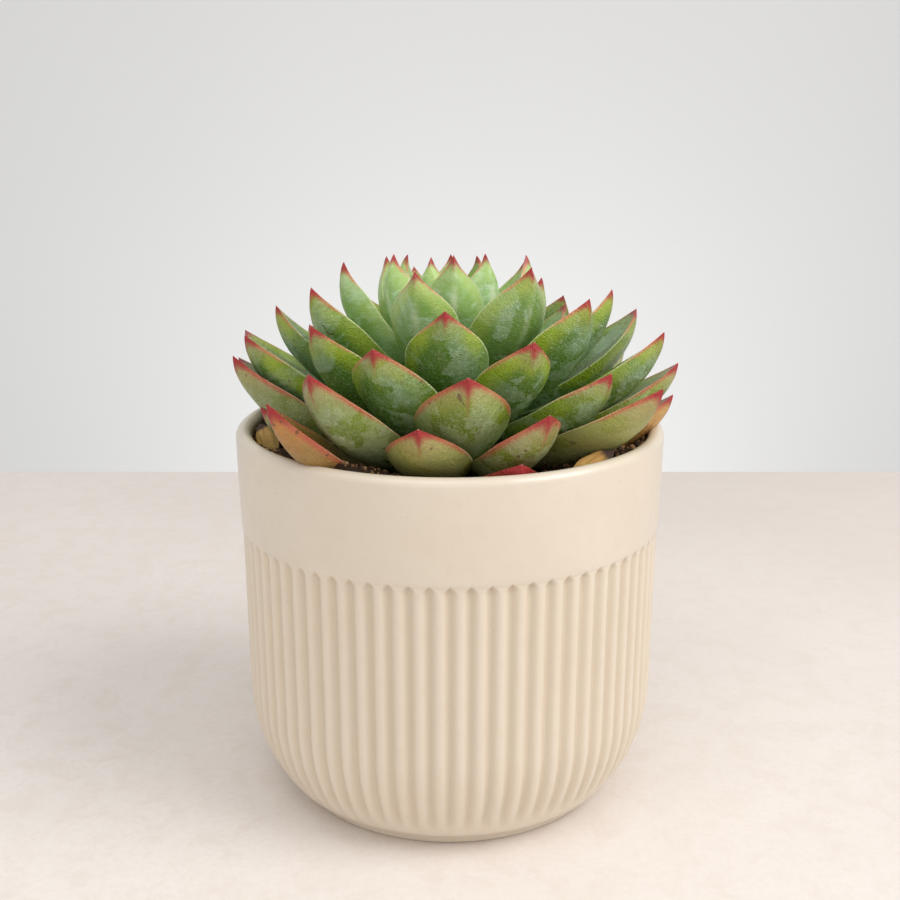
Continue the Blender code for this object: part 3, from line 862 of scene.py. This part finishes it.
# %% Leaves
COLOURED = {
    "leaf_30": (0.70, 0.0),
    "leaf_40": (1.0, 0.1),
    "leaf_42": (1.20, 0.12),
    "leaf_44": (1.2, 0.2),
    "leaf_45": (1.0, 0.65),
    "leaf_47": (1.10, 0.05),
    "leaf_50": (1.35, 0.15),
    "leaf_52": (1.1, 0.95),
    "leaf_53": (0.95, 0.72),
    "leaf_54": (1.7, 1.0),
    "leaf_55": (2.6, 1.0),
}
ROLLED = {"leaf_35": -0.06, "leaf_47": -0.18, "leaf_50": 0.20, "leaf_54": -0.40}
BREADTH = {"leaf_42": 1.04, "leaf_47": 0.95, "leaf_50": 0.94, "leaf_53": 1.03, "leaf_54": 0.88}
PLUMPER = 1.12
faces = 0
for name, sizes in LEAVES.items():
    blush, amber = COLOURED.get(name, (0.15 + 0.65 * min(1.0, sizes["Age"] * 1.2), 0.0))
    sizes["Thickness"] *= PLUMPER
    sizes["Roll"] = ROLLED.get(name, 0.0)
    sizes["Half Width"] *= BREADTH.get(name, 1.0)
    values = {**sizes, "Blush": blush, "Amber": amber, "Material": leaf_skin}
    leaf = keep_shape(f"{name}_skin", leaf_tree, values)
    face_out(leaf)
    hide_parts(name)
    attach(leaf, "root")
    faces += len(leaf.data.polygons)
print(len(LEAVES), "leaves,", faces, "faces")

# %% [markdown]
# ## Withered leaves
# Two leaves have dried up beside the wall. They have lost their water, so they are small, folded
# and wrinkled, golden to brown, with a dark shrivelled tip. Rings of points between the leaf's
# two ends, folded and pinched by sines, make that better than a smooth rule would.


# %% Withered leaves
def shrivelled(name, start, end, half_width, thickness, roll, material):
    """A dried leaf between two points, rolled about its length and pinched by wrinkles."""
    start, end = Vector(start), Vector(end)
    ahead = (end - start).normalized()
    sideways = Matrix.Rotation(math.radians(roll), 3, ahead) @ ahead.cross((0, 0, 1)).normalized()
    over = sideways.cross(ahead)
    stations, around = 48, 48
    points = []
    for step in range(stations):
        along = step / stations
        plump = math.sin(math.pi * (0.05 + 0.95 * along) ** 0.95) ** 0.85
        middle = start.lerp(end, along) + over * thickness * 0.3 * math.sin(math.pi * along)
        for place in range(around):
            turn = math.tau * place / around
            across, upper = math.cos(turn), math.sin(turn) > 0
            pinch = 1 + 0.05 * math.sin(13 * along + 3 * across)
            fold = 0.14 * math.sin(7 * turn + 3 * along) + 0.07 * math.sin(16 * turn - 2 * along)
            bulge = (0.30 if upper else -0.55) * (1 + fold)
            off = bulge * thickness * (1 - abs(across) ** 1.5)
            side = sideways * across * half_width * (1 + fold * 0.5)
            points.append(middle + (side + over * off) * plump * pinch)
    faces = [tuple(range(around))]
    for low in range(0, (stations - 1) * around, around):
        for place in range(around):
            after = (place + 1) % around
            faces.append((low + place, low + after, low + around + after, low + around + place))
    last = (stations - 1) * around
    faces += [(len(points), last + (place + 1) % around, last + place) for place in range(around)]
    mesh = bpy.data.meshes.new(name)
    mesh.from_pydata(points + [end], [], faces)
    mesh.materials.append(material)
    note = mesh.attributes.new("dried", "FLOAT_VECTOR", "POINT")
    for number in range(len(points)):
        turn = math.tau * (number % around) / around
        note.data[number].vector = (number // around / stations, math.cos(turn), math.sin(turn))
    note.data[len(points)].vector = (1.0, 0.0, 0.0)
    mesh.shade_smooth()
    piece = bpy.data.objects.new(name, mesh)
    bpy.context.scene.collection.objects.link(piece)
    face_out(piece)
    return piece


STRAW, TAN, STRAW_GREEN = (0.80, 0.50, 0.15), (0.60, 0.28, 0.07), (0.50, 0.50, 0.11)
VEIN_BROWN, SHRIVELLED_TIP = (0.32, 0.16, 0.04), (0.07, 0.035, 0.02)
dry, paint, look = start_finish("withered_skin", roughness=0.6, subsurface_weight=0.1)
look["Subsurface Scale"].default_value = 0.003
spot = paint.node("ShaderNodeTexCoord", out="Object")
dried, across, over = paint.note("dried")
vein = paint.noise(paint.vector(dried * 1.2, across * 4.0, over * 2.0), 3.0, 4.0, 0.6)
blot = paint.noise(spot, 150.0, 3.0, 0.6)
tone = blot.climb(0.35, 0.65).between(STRAW, TAN)
tone = (over.climb(0.1, 0.9) * 0.15).between(tone, STRAW_GREEN)
tone = (vein.climb(0.50, 0.66) * 0.60).between(tone, VEIN_BROWN)
tone = (dried + (blot - 0.5) * 0.25).climb(0.74, 0.86).between(tone, SHRIVELLED_TIP)
paint.plug(look["Base Color"], tone)
paint.plug(look["Roughness"], 0.42 + vein * 0.25)
bump = paint.node("ShaderNodeBump", {"Height": vein, "Strength": 0.6, "Distance": 0.0005})
paint.plug(look["Normal"], bump)

WITHERED = {
    "withered_leaf_1": ((0.0328, -0.0412, 0.1072), (0.0460, -0.0356, 0.1152), 0.0032, 0.0028, 50),
    "withered_leaf_2": ((-0.0518, -0.0135, 0.1072), (-0.0578, -0.0060, 0.1152), 0.0034, 0.0030, -50),
}
for name, sizes in WITHERED.items():
    piece = shrivelled(f"{name}_skin", *sizes, dry)
    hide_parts(name)
    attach(piece, "root")
    print(name, len(piece.data.polygons), "faces")

# %% [markdown]
